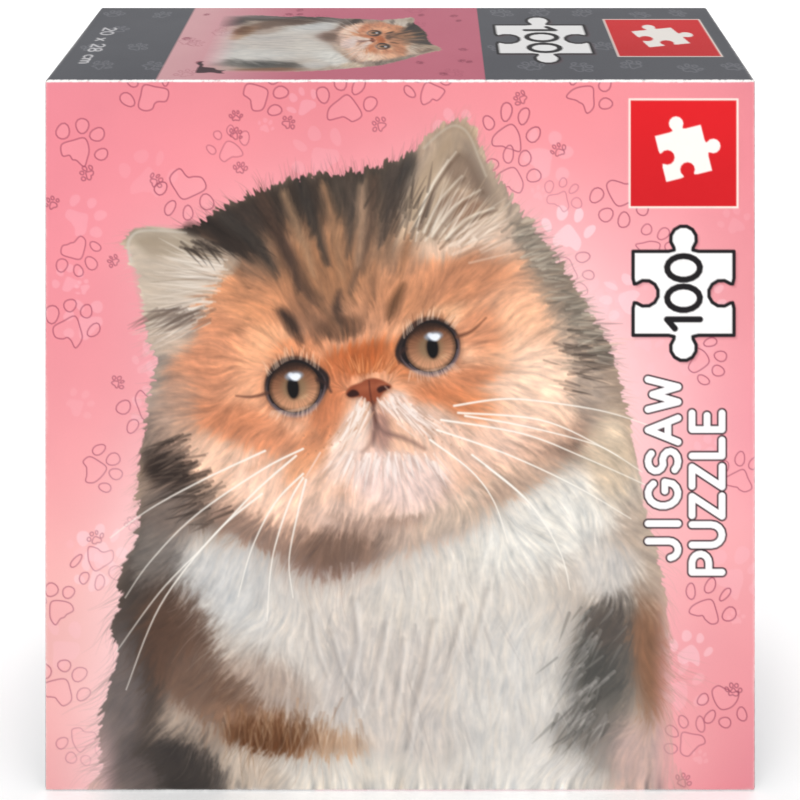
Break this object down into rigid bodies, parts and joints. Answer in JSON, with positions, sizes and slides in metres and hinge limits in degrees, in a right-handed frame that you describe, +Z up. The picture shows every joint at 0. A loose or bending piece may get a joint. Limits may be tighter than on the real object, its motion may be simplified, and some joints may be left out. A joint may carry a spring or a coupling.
{
  "type": "boxed jigsaw puzzle",
  "caption": "Square telescoping card box with a printed cat picture on its lid, holding a sealed film bag of loose die-cut jigsaw pieces.",
  "frame": {"origin": "middle of the lower edge face that the closed box stands on", "axes": "+Z up, -Y out of the printed picture face, +X to the right when looking at the picture"},
  "size_m": [0.145, 0.043, 0.145],
  "materials": {
    "printed_paper": "satin",
    "tray_paper": "satin",
    "grey_board": "matte",
    "tape": "matte",
    "film": "gloss",
    "puzzle_board": "satin"
  },
  "bodies": {
    "tray": {"tray_board": "grey_board", "tray_wrap": "tray_paper", "tray_corner_stays": "tape"},
    "lid": {"lid_board": "grey_board", "lid_wrap": "printed_paper", "lid_corner_stays": "tape"},
    "bag": {"bag_front_film": "film", "bag_back_film": "film", "piece_pair_01": "puzzle_board", "piece_pair_02": "puzzle_board", "piece_pair_03": "puzzle_board", "piece_pair_04": "puzzle_board", "piece_pair_05": "puzzle_board", "piece_pair_06": "puzzle_board", "piece_pair_07": "puzzle_board", "piece_pair_08": "puzzle_board", "piece_pair_09": "puzzle_board", "piece_pair_10": "puzzle_board", "piece_pair_11": "puzzle_board", "piece_pair_12": "puzzle_board", "piece_pair_13": "puzzle_board", "piece_pair_14": "puzzle_board", "piece_pair_15": "puzzle_board", "piece_pair_16": "puzzle_board", "piece_pair_17": "puzzle_board", "piece_pair_18": "puzzle_board", "piece_pair_19": "puzzle_board", "piece_pair_20": "puzzle_board", "piece_pair_21": "puzzle_board", "piece_pair_22": "puzzle_board", "piece_pair_23": "puzzle_board", "piece_pair_24": "puzzle_board", "piece_pair_25": "puzzle_board", "piece_pair_26": "puzzle_board", "piece_pair_27": "puzzle_board", "piece_pair_28": "puzzle_board", "piece_pair_29": "puzzle_board", "piece_pair_30": "puzzle_board", "piece_pair_31": "puzzle_board", "piece_pair_32": "puzzle_board", "piece_pair_33": "puzzle_board", "piece_pair_34": "puzzle_board", "piece_pair_35": "puzzle_board", "piece_pair_36": "puzzle_board", "piece_pair_37": "puzzle_board", "piece_pair_38": "puzzle_board", "piece_pair_39": "puzzle_board", "piece_pair_40": "puzzle_board", "piece_pair_41": "puzzle_board", "piece_pair_42": "puzzle_board", "piece_pair_43": "puzzle_board", "piece_pair_44": "puzzle_board", "piece_pair_45": "puzzle_board", "piece_pair_46": "puzzle_board", "piece_pair_47": "puzzle_board", "piece_pair_48": "puzzle_board", "piece_pair_49": "puzzle_board", "piece_pair_50": "puzzle_board"}
  },
  "joints": [
    {"name": "lid_slide", "type": "slide", "parent": "tray", "child": "lid", "axis": [0, -1, 0], "range_m": [0, 0.13]},
    {"name": "bag_slide", "type": "slide", "parent": "tray", "child": "bag", "axis": [0, -1, 0], "range_m": [0, 0.055]}
  ],
  "couplings": [
    {"joint": "bag_slide", "follows": "lid_slide", "ratio": 0.4}
  ]
}
